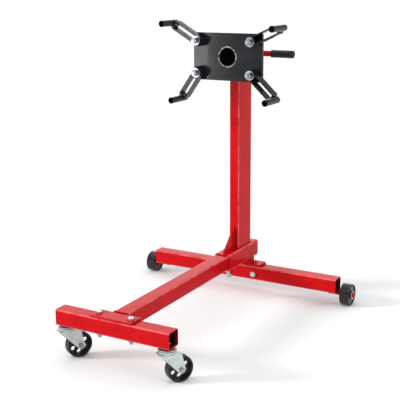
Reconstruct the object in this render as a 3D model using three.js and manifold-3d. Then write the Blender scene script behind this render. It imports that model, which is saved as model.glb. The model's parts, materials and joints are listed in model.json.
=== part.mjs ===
// Engine stand: a welded, bolted frame on two fixed rear wheels and two swivel casters, whose
// turning head carries four adjustable arms that bolt to an engine.
// Millimetres. +X is the stand's right-hand side seen from the front, +Y points to the back, +Z is up.
// While the pieces are laid out, y = 0 is the centre line of the rear crossbar and z = 0 the floor.
import * as THREE from 'three';
import { mergeVertices } from 'three/addons/utils/BufferGeometryUtils.js';
import Module from 'manifold-3d';

const wasm = await Module();
wasm.setup();

// ---- Driving dimensions ----
const GAP = 0.3; // clearance between pieces that touch or are welded together
const TUBE = 50; // square tube of both crossbars and of the leg
const TUBE_WALL = 2.5;
const TUBE_CORNER = 4;

const REAR_BAR_LENGTH = 729;
const REAR_BAR_BOTTOM = 45.8;
const REAR_WHEEL_RADIUS = 37.5;
const REAR_WHEEL_WIDTH = 34;
const REAR_WHEEL_INNER_X = 376.7;
const STUB_RADIUS = 8;
const STUB_Y = 17.5;
const STUB_LENGTH = 96;
const STUB_OVERLAP = 40; // how far the stub axle is welded under the crossbar

const LEG_BOTTOM = 119.5;
const LEG_FRONT_Y = -782;
const LEG_REAR_Y = 20;
const SLEEVE_WALL = 3.2;
const SLEEVE_FRONT_Y = -166.5;
const SLEEVE_REAR_Y = 56.5;
const SLIDE_CLEARANCE = 0.5; // on each side of the leg in its sleeve

const FRONT_BAR_LENGTH = 392;
const FRONT_BAR_Y = -813;
const FRONT_BAR_BOTTOM = 111.7;
const BRACKET_WIDTH = 144;
const BRACKET_THICK = 6;
const BRACKET_BOLT_X = 55;

const SADDLE_WIDTH = 150;
const SADDLE_THICK = 8;
const SADDLE_FLANGE = 6;
const SADDLE_BOLT_X = 51.5;
const SADDLE_BOLT_Z = 68.4;

const POST_WIDTH = 37;
const POST_DEPTH = 96;
const POST_FRONT_Y = -78;
const POST_WALL = 2.5;
const GUSSET_THICK = 6;
const GUSSET_RISE = 76;
const GUSSET_REACH = 76;

const HEAD_Z = 848.5; // height of the turning axis
const SHAFT_RADIUS = 31.75;
const SHAFT_WALL = 3;
const SHAFT_REAR_Y = 74;
const HOUSING_INNER = 32.1;
const HOUSING_OUTER = 38;
const HOUSING_FRONT_Y = -110;
const HOUSING_REAR_Y = 28;
const INDEX_Y = -45;
const INDEX_HOLES = 8;
const PIN_RADIUS = 6;
const PIN_TRAVEL = 12;
const PIN_BOSS_HEIGHT = 9; // above the housing

const PLATE_FRONT_Y = -129;
const PLATE_WIDTH = 256;
const PLATE_HEIGHT = 158;
const PLATE_THICK = 12;
const ARM_BOLT_X = 100.5;
const ARM_BOLT_Z = 53.5;
const ARM_WIDTH = 30;
const ARM_RAIL = 5;
const ARM_DEPTH = 33.5;
const ARM_TUBE_RADIUS = 11;
const ARM_TUBE_BORE = 8.5;
const ARM_TUBE_LENGTH = 95;
const ARM_LENGTH = 126; // from the end of the rails to the tube's axis
// side of the plate (x, z), angle in the plate's plane, and distance from bolt to tube
const ARMS = [
  { name: 'upper_left', side: [-1, 1], angle: 150, reach: 110.5 },
  { name: 'upper_right', side: [1, 1], angle: 24, reach: 115 },
  { name: 'lower_left', side: [-1, -1], angle: 235, reach: 109.5 },
  { name: 'lower_right', side: [1, -1], angle: -43, reach: 114.5 },
];

const HANDLE_Y = 50;
const HANDLE_RADIUS = 10;
const HANDLE_LEFT_X = -64;
const GRIP_START_X = 78;
const GRIP_END_X = 162;
const GRIP_RADIUS = 13.3;

const CASTER_X = 175;
const CASTER_RADIUS = 40;
const CASTER_WIDTH = 26;
const CASTER_TRAIL = 36;
const CASTER_HOLES = 6;
const CASTER_HOLE_CIRCLE = 22.5;
const CASTER_HOLE_RADIUS = 6.8;
const CASTER_WEB = 6;
const FORK_PLATE = 3;
const FORK_REAR = 38;
const RACE_RADIUS = 27;
const CASTERS = [
  { name: 'left', side: -1, trailAngle: 64 },
  { name: 'right', side: 1, trailAngle: 59 },
];

const SIDES = [
  { name: 'left', side: -1 },
  { name: 'right', side: 1 },
];

// number of flat sides that stand in for a circle
const LARGE_SIDES = 36;
const ROUND_SIDES = 24;
const SMALL_SIDES = 12;

// thread radius, width across flats, head height and nut height of each bolt size
const M8 = { radius: 4, flats: 13, head: 5.3, nut: 6.8 };
const M10 = { radius: 5, flats: 17, head: 6.4, nut: 11.5 };
const M12 = { radius: 6, flats: 19, head: 7.5, nut: 10.4 };
const HOLE_CLEARANCE = 0.5;

// ---- Materials ----
function material(color, roughness, metalness) {
  return new THREE.MeshStandardMaterial({ color, roughness, metalness });
}

const redPaint = () => material(0xc8141c, 0.3, 0);
const blackPaint = () => material(0x17171a, 0.35, 0);
const zinc = () => material(0xc9cfd2, 0.3, 1);
const wheelBlack = () => material(0x1a1a1c, 0.5, 0);
const gripBlack = () => material(0x161616, 0.75, 0);

// ---- Geometry helpers ----
const AXES = {
  x: [new THREE.Vector3(0, 1, 0), new THREE.Vector3(0, 0, 1), new THREE.Vector3(1, 0, 0)],
  y: [new THREE.Vector3(1, 0, 0), new THREE.Vector3(0, 0, 1), new THREE.Vector3(0, -1, 0)],
  z: [new THREE.Vector3(1, 0, 0), new THREE.Vector3(0, 1, 0), new THREE.Vector3(0, 0, 1)],
};

// turns a geometry built along +Z so that it runs along the named axis
function orient(geometry, axis) {
  return geometry.applyMatrix4(new THREE.Matrix4().makeBasis(...AXES[axis]));
}

function toSolid(geometry) {
  const bare = geometry.clone();
  bare.deleteAttribute('normal');
  bare.deleteAttribute('uv');
  const snapped = bare.attributes.position.array.map((value) => Math.round(value * 1e4) / 1e4);
  bare.setAttribute('position', new THREE.BufferAttribute(snapped, 3));
  const merged = mergeVertices(bare, 1e-5);
  const vertProperties = new Float32Array(merged.attributes.position.array);
  const triVerts = new Uint32Array(merged.index.array);
  return new wasm.Manifold(new wasm.Mesh({ numProp: 3, vertProperties, triVerts }));
}

function toGeometry(solid) {
  const mesh = solid.getMesh();
  const geometry = new THREE.BufferGeometry();
  geometry.setAttribute('position', new THREE.BufferAttribute(mesh.vertProperties, 3));
  geometry.setIndex(new THREE.BufferAttribute(mesh.triVerts, 1));
  geometry.computeVertexNormals();
  return geometry;
}

function combine(parts, cuts = []) {
  let solid = toSolid(parts[0]);
  for (const part of parts.slice(1)) {
    solid = solid.add(toSolid(part));
  }
  for (const cut of cuts) {
    solid = solid.subtract(toSolid(cut));
  }
  return toGeometry(solid);
}

// a box between two corners
function block(low, high) {
  const size = high.map((value, i) => value - low[i]);
  const centre = high.map((value, i) => (value + low[i]) / 2);
  return new THREE.BoxGeometry(...size).translate(...centre);
}

// a round or many-sided bar along an axis, between two places on it; across is its centre line
function bar(axis, radius, from, to, across, sides = ROUND_SIDES) {
  const geometry = new THREE.CylinderGeometry(radius, radius, to - from, sides);
  geometry.rotateX(Math.PI / 2).translate(0, 0, (from + to) / 2);
  orient(geometry, axis);
  if (axis === 'y') geometry.translate(0, from + to, 0); // the turn above sends +Z to -Y
  const [u, v] = across;
  const move = { x: [0, u, v], y: [u, 0, v], z: [u, v, 0] }[axis];
  return geometry.translate(...move);
}

function hexagon(axis, flats, from, to, across) {
  return bar(axis, flats / Math.sqrt(3), from, to, across, 6);
}

function roundedRectangle(width, height, radius, target = new THREE.Shape()) {
  const x = width / 2 - radius;
  const y = height / 2 - radius;
  target.moveTo(x + radius, -y);
  target.absarc(x, y, radius, 0, Math.PI / 2, false);
  target.absarc(-x, y, radius, Math.PI / 2, Math.PI, false);
  target.absarc(-x, -y, radius, Math.PI, Math.PI * 1.5, false);
  target.absarc(x, -y, radius, Math.PI * 1.5, Math.PI * 2, false);
  return target;
}

// an extruded shape along an axis from one place to another; across is its centre line
function extrude(axis, shape, from, to, across) {
  const options = { depth: to - from, bevelEnabled: false, curveSegments: 3 };
  const geometry = new THREE.ExtrudeGeometry(shape, options);
  geometry.translate(0, 0, axis === 'y' ? -to : from);
  orient(geometry, axis);
  const [u, v] = across;
  const move = { x: [0, u, v], y: [u, 0, v], z: [u, v, 0] }[axis];
  return geometry.translate(...move);
}

function boxTube(axis, width, height, wall, from, to, across) {
  const shape = roundedRectangle(width, height, TUBE_CORNER);
  const inside = roundedRectangle(width - 2 * wall, height - 2 * wall, TUBE_CORNER / 2, new THREE.Path());
  shape.holes.push(inside);
  return extrude(axis, shape, from, to, across);
}

function bolt(axis, size, headAt, tipAt, across) {
  const towards = Math.sign(tipAt - headAt);
  const headEnd = headAt - towards * size.head;
  const head = hexagon(axis, size.flats, Math.min(headAt, headEnd), Math.max(headAt, headEnd), across);
  const start = headAt - towards * size.head / 2;
  const shank = bar(axis, size.radius, Math.min(start, tipAt), Math.max(start, tipAt), across, SMALL_SIDES);
  return combine([head, shank]);
}

function nut(axis, size, from, across, height = size.nut) {
  const body = hexagon(axis, size.flats, from, from + height, across);
  const thread = bar(axis, size.radius + GAP, from - 1, from + height + 1, across, SMALL_SIDES);
  return combine([body], [thread]);
}

function washer(axis, inner, outer, from, to, across, sides = SMALL_SIDES) {
  return combine([bar(axis, outer, from, to, across)], [bar(axis, inner, from - 1, to + 1, across, sides)]);
}

const stand = new THREE.Group();

function place(name, geometry, finish, parent = stand) {
  const mesh = new THREE.Mesh(geometry, finish);
  mesh.name = name;
  parent.add(mesh);
  return mesh;
}

// ---- Rear crossbar, its saddle and its wheels ----
function addRearCrossbar() {
  const centreZ = REAR_BAR_BOTTOM + TUBE / 2;
  const half = REAR_BAR_LENGTH / 2;
  const tube = boxTube('x', TUBE, TUBE, TUBE_WALL, -half, half, [0, centreZ]);
  const holes = SIDES.map(({ side }) => (
    bar('y', M12.radius + HOLE_CLEARANCE, -TUBE, TUBE, [side * SADDLE_BOLT_X, SADDLE_BOLT_Z], SMALL_SIDES)
  ));
  place('rear_crossbar', combine([tube], holes), redPaint());
}

function addSaddle() {
  const barTop = REAR_BAR_BOTTOM + TUBE;
  const back = TUBE / 2 + GAP;
  const top = block(
    [-SADDLE_WIDTH / 2, -TUBE / 2 + 3, barTop + GAP],
    [SADDLE_WIDTH / 2, back + SADDLE_FLANGE, barTop + GAP + SADDLE_THICK],
  );
  const flange = block(
    [-SADDLE_WIDTH / 2, back, REAR_BAR_BOTTOM + 4],
    [SADDLE_WIDTH / 2, back + SADDLE_FLANGE, barTop + 2],
  );
  const holes = SIDES.map(({ side }) => (
    bar('y', M12.radius + HOLE_CLEARANCE, 0, TUBE, [side * SADDLE_BOLT_X, SADDLE_BOLT_Z], SMALL_SIDES)
  ));
  place('saddle_plate', combine([top, flange], holes), redPaint());

  const sleeveBottom = LEG_BOTTOM - SLIDE_CLEARANCE - SLEEVE_WALL;
  const riser = block(
    [-28.5, -TUBE / 2, barTop + 2 * GAP + SADDLE_THICK],
    [28.5, TUBE / 2 + 2, sleeveBottom - GAP],
  );
  place('riser_block', riser, redPaint());

  for (const { name, side } of SIDES) {
    const across = [side * SADDLE_BOLT_X, SADDLE_BOLT_Z];
    const rear = back + SADDLE_FLANGE + GAP;
    const headFace = -TUBE / 2 - GAP;
    place(`saddle_bolt_${name}`, bolt('y', M12, headFace, rear + M12.nut + 5, across), zinc());
    place(`saddle_nut_${name}`, nut('y', M12, rear, across), zinc());
  }
}

// a solid wheel of revolution about Y, with rounded shoulders
function wheelBody(radius, width, shoulder) {
  const half = width / 2;
  const path = new THREE.Path();
  path.moveTo(0, -half);
  path.lineTo(radius - shoulder, -half);
  path.absarc(radius - shoulder, -half + shoulder, shoulder, -Math.PI / 2, 0, false);
  path.absarc(radius - shoulder, half - shoulder, shoulder, 0, Math.PI / 2, false);
  path.lineTo(0, half);
  return new THREE.LatheGeometry(path.getPoints(1), LARGE_SIDES);
}

function addRearWheels() {
  const z = REAR_WHEEL_RADIUS;
  const barEnd = REAR_BAR_LENGTH / 2;
  for (const { name, side } of SIDES) {
    const span = (near, far) => [Math.min(side * near, side * far), Math.max(side * near, side * far)];
    const start = barEnd - STUB_OVERLAP;
    const rod = bar('x', STUB_RADIUS, ...span(start, start + STUB_LENGTH), [STUB_Y, z]);
    const collar = bar('x', 11.5, ...span(REAR_WHEEL_INNER_X - 5, REAR_WHEEL_INNER_X - 1), [STUB_Y, z]);
    place(`stub_axle_${name}`, combine([rod, collar]), redPaint());

    const body = wheelBody(REAR_WHEEL_RADIUS, REAR_WHEEL_WIDTH, 6);
    const bore = bar('y', STUB_RADIUS + 0.4, -REAR_WHEEL_WIDTH, REAR_WHEEL_WIDTH, [0, 0]);
    const wheel = place(`rear_wheel_${name}`, combine([body], [bore]), wheelBlack());
    wheel.rotation.z = -Math.PI / 2;
    wheel.position.set(side * (REAR_WHEEL_INNER_X + REAR_WHEEL_WIDTH / 2), STUB_Y, z);

    const outer = REAR_WHEEL_INNER_X + REAR_WHEEL_WIDTH + 0.6;
    const ring = washer('x', STUB_RADIUS + GAP, 15, ...span(outer, outer + 2.5), [STUB_Y, z]);
    place(`axle_washer_${name}`, ring, zinc());
  }
}

// ---- Leg, sleeve, post and gusset ----
function addLegAndSleeve() {
  const centreZ = LEG_BOTTOM + TUBE / 2;
  place('leg', boxTube('y', TUBE, TUBE, TUBE_WALL, LEG_FRONT_Y + GAP, LEG_REAR_Y, [0, centreZ]), redPaint());

  const sleeveWidth = TUBE + 2 * (SLIDE_CLEARANCE + SLEEVE_WALL);
  const sleeve = boxTube('y', sleeveWidth, sleeveWidth, SLEEVE_WALL, SLEEVE_FRONT_Y, SLEEVE_REAR_Y, [0, centreZ]);
  const clampY = SLEEVE_FRONT_Y + 48;
  const bottom = centreZ - sleeveWidth / 2;
  const clampHole = bar('z', M12.radius + HOLE_CLEARANCE, bottom - 5, centreZ, [0, clampY], SMALL_SIDES);
  place('sleeve', combine([sleeve], [clampHole]), redPaint());

  place('clamp_weld_nut', nut('z', M12, bottom - GAP - M12.nut, [0, clampY]), zinc());
  const screwHead = bottom - GAP - M12.nut - 20;
  place('clamp_screw', bolt('z', M12, screwHead, LEG_BOTTOM - GAP, [0, clampY]), zinc());
}

function addPost() {
  const sleeveTop = LEG_BOTTOM + TUBE + SLIDE_CLEARANCE + SLEEVE_WALL;
  const centreY = POST_FRONT_Y + POST_DEPTH / 2;
  const tube = boxTube('z', POST_WIDTH, POST_DEPTH, POST_WALL, sleeveTop + GAP, HEAD_Z, [0, centreY]);
  const saddleCut = bar('y', HOUSING_OUTER + GAP, HOUSING_FRONT_Y, HOUSING_REAR_Y, [0, HEAD_Z], LARGE_SIDES);
  place('post', combine([tube], [saddleCut]), redPaint());

  const foot = sleeveTop + GAP;
  const outline = new THREE.Shape();
  outline.moveTo(POST_FRONT_Y - GAP, foot);
  outline.lineTo(POST_FRONT_Y - GAP, foot + GUSSET_RISE);
  outline.lineTo(POST_FRONT_Y - GAP - 4, foot + GUSSET_RISE);
  outline.lineTo(POST_FRONT_Y - GAP - GUSSET_REACH, foot + 4);
  outline.lineTo(POST_FRONT_Y - GAP - GUSSET_REACH, foot);
  place('gusset', extrude('x', outline, -GUSSET_THICK / 2, GUSSET_THICK / 2, [0, 0]), redPaint());
}

// ---- Front crossbar, its bracket and its casters ----
function addFrontCrossbar() {
  const centreZ = FRONT_BAR_BOTTOM + TUBE / 2;
  const half = FRONT_BAR_LENGTH / 2;
  const tube = boxTube('x', TUBE, TUBE, TUBE_WALL, -half, half, [FRONT_BAR_Y, centreZ]);
  const boltHoles = SIDES.map(({ side }) => (
    bar('z', M10.radius + HOLE_CLEARANCE, 0, HEAD_Z, [side * BRACKET_BOLT_X, FRONT_BAR_Y], SMALL_SIDES)
  ));
  const stemHoles = SIDES.map(({ side }) => (
    bar('z', M12.radius + HOLE_CLEARANCE, 0, centreZ, [side * CASTER_X, FRONT_BAR_Y], SMALL_SIDES)
  ));
  place('front_crossbar', combine([tube], [...boltHoles, ...stemHoles]), redPaint());

  const top = FRONT_BAR_BOTTOM + TUBE + GAP;
  const front = FRONT_BAR_Y - TUBE / 2;
  const tab = block(
    [-BRACKET_WIDTH / 2, front, top],
    [BRACKET_WIDTH / 2, LEG_FRONT_Y, top + BRACKET_THICK],
  );
  const flange = block(
    [-BRACKET_WIDTH / 2, FRONT_BAR_Y + TUBE / 2 + GAP, FRONT_BAR_BOTTOM + 2],
    [BRACKET_WIDTH / 2, LEG_FRONT_Y, top + 1],
  );
  place('leg_bracket', combine([tab, flange], boltHoles), redPaint());

  for (const { name, side } of SIDES) {
    const across = [side * BRACKET_BOLT_X, FRONT_BAR_Y];
    const under = FRONT_BAR_BOTTOM - GAP - M10.nut;
    const headFace = top + BRACKET_THICK + GAP;
    place(`bracket_bolt_${name}`, bolt('z', M10, headFace, under - 6, across), zinc());
    place(`bracket_nut_${name}`, nut('z', M10, under, across), zinc());
  }
}

// a wheel of revolution about Y with a hub, a rim and a thin web between them
function webbedWheel(radius, width, shoulder) {
  const half = width / 2;
  const hub = 10.5;
  const rim = radius - 7.5;
  const path = new THREE.Path();
  path.moveTo(0, -half);
  path.lineTo(hub, -half);
  path.lineTo(hub, -CASTER_WEB / 2);
  path.lineTo(rim, -CASTER_WEB / 2);
  path.lineTo(rim, -half);
  path.absarc(radius - shoulder, -half + shoulder, shoulder, -Math.PI / 2, 0, false);
  path.absarc(radius - shoulder, half - shoulder, shoulder, 0, Math.PI / 2, false);
  path.lineTo(rim, half);
  path.lineTo(rim, CASTER_WEB / 2);
  path.lineTo(hub, CASTER_WEB / 2);
  path.lineTo(hub, half);
  path.lineTo(0, half);
  return new THREE.LatheGeometry(path.getPoints(1), LARGE_SIDES);
}

function forkSide(y) {
  const outline = new THREE.Shape();
  const axleZ = CASTER_RADIUS;
  outline.moveTo(-RACE_RADIUS, 95);
  outline.lineTo(-RACE_RADIUS, 90);
  outline.absarc(CASTER_TRAIL, axleZ, 12, Math.PI * 1.24, Math.PI * 2.04, false);
  outline.lineTo(FORK_REAR, 88);
  outline.lineTo(FORK_REAR - 3, 95);
  return extrude('y', outline, y - FORK_PLATE / 2, y + FORK_PLATE / 2, [0, 0]);
}

function addCaster({ name, side, trailAngle }) {
  const x = side * CASTER_X;
  const bottom = FRONT_BAR_BOTTOM;
  const across = [x, FRONT_BAR_Y];
  const race = bar('z', RACE_RADIUS, bottom - 8, bottom - GAP, across);
  const stem = bar('z', M12.radius, bottom - 4, bottom + 22, across, SMALL_SIDES);
  place(`caster_stem_${name}`, combine([race, stem]), zinc());
  place(`caster_nut_${name}`, nut('z', M12, bottom + TUBE_WALL + GAP, across), zinc());

  const swivel = new THREE.Group();
  swivel.position.set(x, FRONT_BAR_Y, 0);
  swivel.rotation.z = THREE.MathUtils.degToRad(trailAngle);
  stand.add(swivel);

  const sideY = CASTER_WIDTH / 2 + 1.5 + FORK_PLATE / 2;
  const lowerRace = bar('z', RACE_RADIUS, 94, bottom - 8 - GAP, [0, 0]);
  const bridge = block(
    [-RACE_RADIUS, -sideY - FORK_PLATE / 2, 91],
    [FORK_REAR - 4, sideY + FORK_PLATE / 2, 95],
  );
  const axleHole = bar('y', M8.radius + GAP, -40, 40, [CASTER_TRAIL, CASTER_RADIUS], SMALL_SIDES);
  const fork = combine([lowerRace, bridge, forkSide(sideY), forkSide(-sideY)], [axleHole]);
  place(`caster_fork_${name}`, fork, zinc(), swivel);

  const plateFace = sideY + FORK_PLATE / 2 + GAP;
  const pin = bolt('y', M8, -plateFace, plateFace + M8.nut + 2, [CASTER_TRAIL, CASTER_RADIUS]);
  const pinNut = hexagon('y', M8.flats, plateFace, plateFace + M8.nut, [CASTER_TRAIL, CASTER_RADIUS]);
  place(`caster_axle_${name}`, combine([pin, pinNut]), zinc(), swivel);

  const body = webbedWheel(CASTER_RADIUS, CASTER_WIDTH, 5);
  const holes = [bar('y', M8.radius + 0.4, -CASTER_WIDTH, CASTER_WIDTH, [0, 0], SMALL_SIDES)];
  for (let i = 0; i < CASTER_HOLES; i += 1) {
    const angle = (i + 0.55) * 2 * Math.PI / CASTER_HOLES;
    const at = [CASTER_HOLE_CIRCLE * Math.cos(angle), CASTER_HOLE_CIRCLE * Math.sin(angle)];
    holes.push(bar('y', CASTER_HOLE_RADIUS, -CASTER_WIDTH, CASTER_WIDTH, at, SMALL_SIDES));
  }
  const wheel = place(`caster_wheel_${name}`, combine([body], holes), wheelBlack(), swivel);
  wheel.position.set(CASTER_TRAIL, 0, CASTER_RADIUS);
}

// ---- Turning head ----
function addHousing() {
  const tube = bar('y', HOUSING_OUTER, HOUSING_FRONT_Y, HOUSING_REAR_Y, [0, HEAD_Z], LARGE_SIDES);
  const bore = bar('y', HOUSING_INNER, HOUSING_FRONT_Y - 1, HOUSING_REAR_Y + 1, [0, HEAD_Z], LARGE_SIDES);
  const pinHole = bar('z', PIN_RADIUS + GAP, HEAD_Z, HEAD_Z + 2 * HOUSING_OUTER, [0, INDEX_Y], SMALL_SIDES);
  place('shaft_housing', combine([tube], [bore, pinHole]), redPaint());

  const bossTop = HEAD_Z + HOUSING_OUTER + PIN_BOSS_HEIGHT;
  const boss = bar('z', 11, HEAD_Z, bossTop, [0, INDEX_Y]);
  const seat = bar('y', HOUSING_OUTER + GAP, HOUSING_FRONT_Y, HOUSING_REAR_Y, [0, HEAD_Z], LARGE_SIDES);
  place('pin_boss', combine([boss], [seat, pinHole]), redPaint());

  const tip = HEAD_Z + SHAFT_RADIUS + 0.8;
  const shank = bar('z', PIN_RADIUS, tip, bossTop + PIN_TRAVEL + 12, [0, INDEX_Y], SMALL_SIDES);
  place('lock_pin', shank, zinc());
  const knobBottom = bossTop + PIN_TRAVEL + 2;
  const knob = bar('x', 5, -26, 26, [INDEX_Y, knobBottom + 6], SMALL_SIDES);
  const eye = bar('z', 9, knobBottom, knobBottom + 12, [0, INDEX_Y]);
  const socket = bar('z', PIN_RADIUS + GAP, knobBottom - 1, knobBottom + 13, [0, INDEX_Y], SMALL_SIDES);
  place('lock_pin_handle', combine([knob, eye], [socket]), zinc());
}

function addHead() {
  const shaft = bar('y', SHAFT_RADIUS, PLATE_FRONT_Y, SHAFT_REAR_Y, [0, HEAD_Z], LARGE_SIDES);
  const cuts = [
    bar('y', SHAFT_RADIUS - SHAFT_WALL, PLATE_FRONT_Y - 1, SHAFT_REAR_Y + 1, [0, HEAD_Z], LARGE_SIDES),
    bar('x', HANDLE_RADIUS + HOLE_CLEARANCE, -TUBE, TUBE, [HANDLE_Y, HEAD_Z]),
  ];
  for (let i = 0; i < INDEX_HOLES; i += 1) {
    const hole = bar('z', PIN_RADIUS + HOLE_CLEARANCE, 20, 40, [0, 0], SMALL_SIDES);
    hole.rotateY(i * 2 * Math.PI / INDEX_HOLES);
    hole.translate(0, INDEX_Y, HEAD_Z);
    cuts.push(hole);
  }
  place('head_shaft', combine([shaft], cuts), blackPaint());

  const outline = roundedRectangle(PLATE_WIDTH, PLATE_HEIGHT, 5);
  const plate = extrude('y', outline, PLATE_FRONT_Y, PLATE_FRONT_Y + PLATE_THICK, [0, HEAD_Z]);
  const holes = ARMS.map(({ side }) => (
    bar('y', M12.radius + HOLE_CLEARANCE, PLATE_FRONT_Y - 5, PLATE_FRONT_Y + PLATE_THICK + 5, boltAt(side), SMALL_SIDES)
  ));
  const shaftHole = bar('y', SHAFT_RADIUS + GAP, PLATE_FRONT_Y - 5, 0, [0, HEAD_Z], LARGE_SIDES);
  place('head_plate', combine([plate], [...holes, shaftHole]), blackPaint());

  const ringStart = HOUSING_REAR_Y + 1;
  const ring = washer('y', SHAFT_RADIUS + GAP, 39, ringStart, ringStart + 9, [0, HEAD_Z], LARGE_SIDES);
  place('retaining_ring', ring, zinc());
}

function boltAt([sideX, sideZ]) {
  return [sideX * ARM_BOLT_X, HEAD_Z + sideZ * ARM_BOLT_Z];
}

// an arm is two rails joined at both ends, with a tube across its outer end; its slot runs
// along local +X from the clamp bolt at the origin
function armGeometry(reach) {
  const back = PLATE_FRONT_Y - GAP;
  const front = back - ARM_DEPTH;
  const inner = reach - ARM_LENGTH;
  const outer = reach - ARM_TUBE_RADIUS + 1;
  const half = ARM_WIDTH / 2;
  const body = block([inner, front, -half], [outer, back, half]);
  const slot = block(
    [inner + ARM_RAIL, front - 1, -half + ARM_RAIL],
    [outer - ARM_RAIL, back + 1, half - ARM_RAIL],
  );
  const tube = bar('y', ARM_TUBE_RADIUS, back - ARM_TUBE_LENGTH, back, [reach, 0], 24);
  const bore = bar('y', ARM_TUBE_BORE, back - ARM_TUBE_LENGTH - 1, back + 1, [reach, 0], 24);
  return combine([body, tube], [slot, bore]);
}

function addArm({ name, side, angle, reach }) {
  const [x, z] = boltAt(side);
  const arm = place(`arm_${name}`, armGeometry(reach), blackPaint());
  arm.rotation.y = -THREE.MathUtils.degToRad(angle);
  arm.position.set(x, 0, z);

  const armFront = PLATE_FRONT_Y - GAP - ARM_DEPTH;
  const washerFront = armFront - GAP - 3;
  const springGap = 3.4;
  const nutFront = washerFront - springGap - M12.nut;
  const plateBack = PLATE_FRONT_Y + PLATE_THICK;
  place(`arm_washer_${name}`, washer('y', M12.radius + GAP, 16, washerFront, armFront - GAP, [x, z]), zinc());
  place(`arm_nut_${name}`, nut('y', M12, nutFront, [x, z]), zinc());
  place(`arm_bolt_${name}`, bolt('y', M12, plateBack + GAP, nutFront - 3, [x, z]), zinc());
}

function addHandle() {
  const rod = bar('x', HANDLE_RADIUS, HANDLE_LEFT_X, GRIP_END_X - 6, [HANDLE_Y, HEAD_Z]);
  place('handle_bar', rod, redPaint());
  const grip = bar('x', GRIP_RADIUS, GRIP_START_X, GRIP_END_X, [HANDLE_Y, HEAD_Z]);
  const socket = bar('x', HANDLE_RADIUS + GAP, GRIP_START_X - 1, GRIP_END_X - 5, [HANDLE_Y, HEAD_Z]);
  place('handle_grip', combine([grip], [socket]), gripBlack());
}

addRearCrossbar();
addSaddle();
addRearWheels();
addLegAndSleeve();
addPost();
addFrontCrossbar();
CASTERS.forEach(addCaster);
addHousing();
addHead();
ARMS.forEach(addArm);
addHandle();

// the origin is on the floor, under the middle of the whole stand
const frontEdge = FRONT_BAR_Y - RACE_RADIUS;
stand.position.y = -(frontEdge + SHAFT_REAR_Y) / 2;

export default stand;
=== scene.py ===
# The looks of the engine stand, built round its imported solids.
# Lengths are in metres, in the frame of those solids: X right, Y rearwards, Z up from the floor.
import json
import math

import bmesh
import bpy
from mathutils import Matrix, Vector, noise


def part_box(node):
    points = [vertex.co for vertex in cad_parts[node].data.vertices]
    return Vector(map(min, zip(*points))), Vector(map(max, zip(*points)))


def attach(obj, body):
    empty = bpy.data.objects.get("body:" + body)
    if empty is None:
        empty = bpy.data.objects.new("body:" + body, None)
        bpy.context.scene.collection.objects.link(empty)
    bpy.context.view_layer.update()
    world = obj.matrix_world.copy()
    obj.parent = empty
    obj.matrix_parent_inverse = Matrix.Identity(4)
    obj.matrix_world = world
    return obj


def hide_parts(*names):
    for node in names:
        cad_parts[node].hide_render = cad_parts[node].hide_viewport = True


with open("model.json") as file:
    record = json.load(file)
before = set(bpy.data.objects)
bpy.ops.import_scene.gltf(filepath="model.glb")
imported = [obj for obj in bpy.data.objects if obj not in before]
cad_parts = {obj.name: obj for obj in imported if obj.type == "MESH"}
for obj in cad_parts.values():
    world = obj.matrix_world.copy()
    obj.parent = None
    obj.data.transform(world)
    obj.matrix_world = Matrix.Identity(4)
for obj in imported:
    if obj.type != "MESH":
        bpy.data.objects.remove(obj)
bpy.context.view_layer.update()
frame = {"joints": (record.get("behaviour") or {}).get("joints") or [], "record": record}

MM = 0.001
JOINTS = {joint["name"]: joint for joint in frame["joints"]}
MOUNTS = {mount["name"]: mount for mount in frame["record"]["mounts"]}
ARMS = ("upper_left", "upper_right", "lower_left", "lower_right")
SIDES = (("left", -1), ("right", 1))

# Hexagon bolts, in the order that bolt_piece takes: across flats, head, shank radius, pitch
M12_FLATS, M12_RADIUS, M12_PITCH = 19 * MM, 6 * MM, 1.75 * MM
M12_BOLT = (M12_FLATS, 7.5 * MM, M12_RADIUS, M12_PITCH)
M12_HOLE = 6.4 * MM
M10_FLATS, M10_RADIUS = 17 * MM, 5 * MM
M10_BOLT = (M10_FLATS, 6.4 * MM, M10_RADIUS, 1.5 * MM)

# Square tube: wall and outer corner radius. The post's corners are a little tighter.
TUBE_WALL = 2.5 * MM
TUBE_CORNER = 5 * MM
POST_CORNER = 4.5 * MM

# Radius of the hole for the lock pin, and how far a drill stands out past the wall it cuts
PIN_HOLE = 6.3 * MM
PAST = 5 * MM


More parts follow.
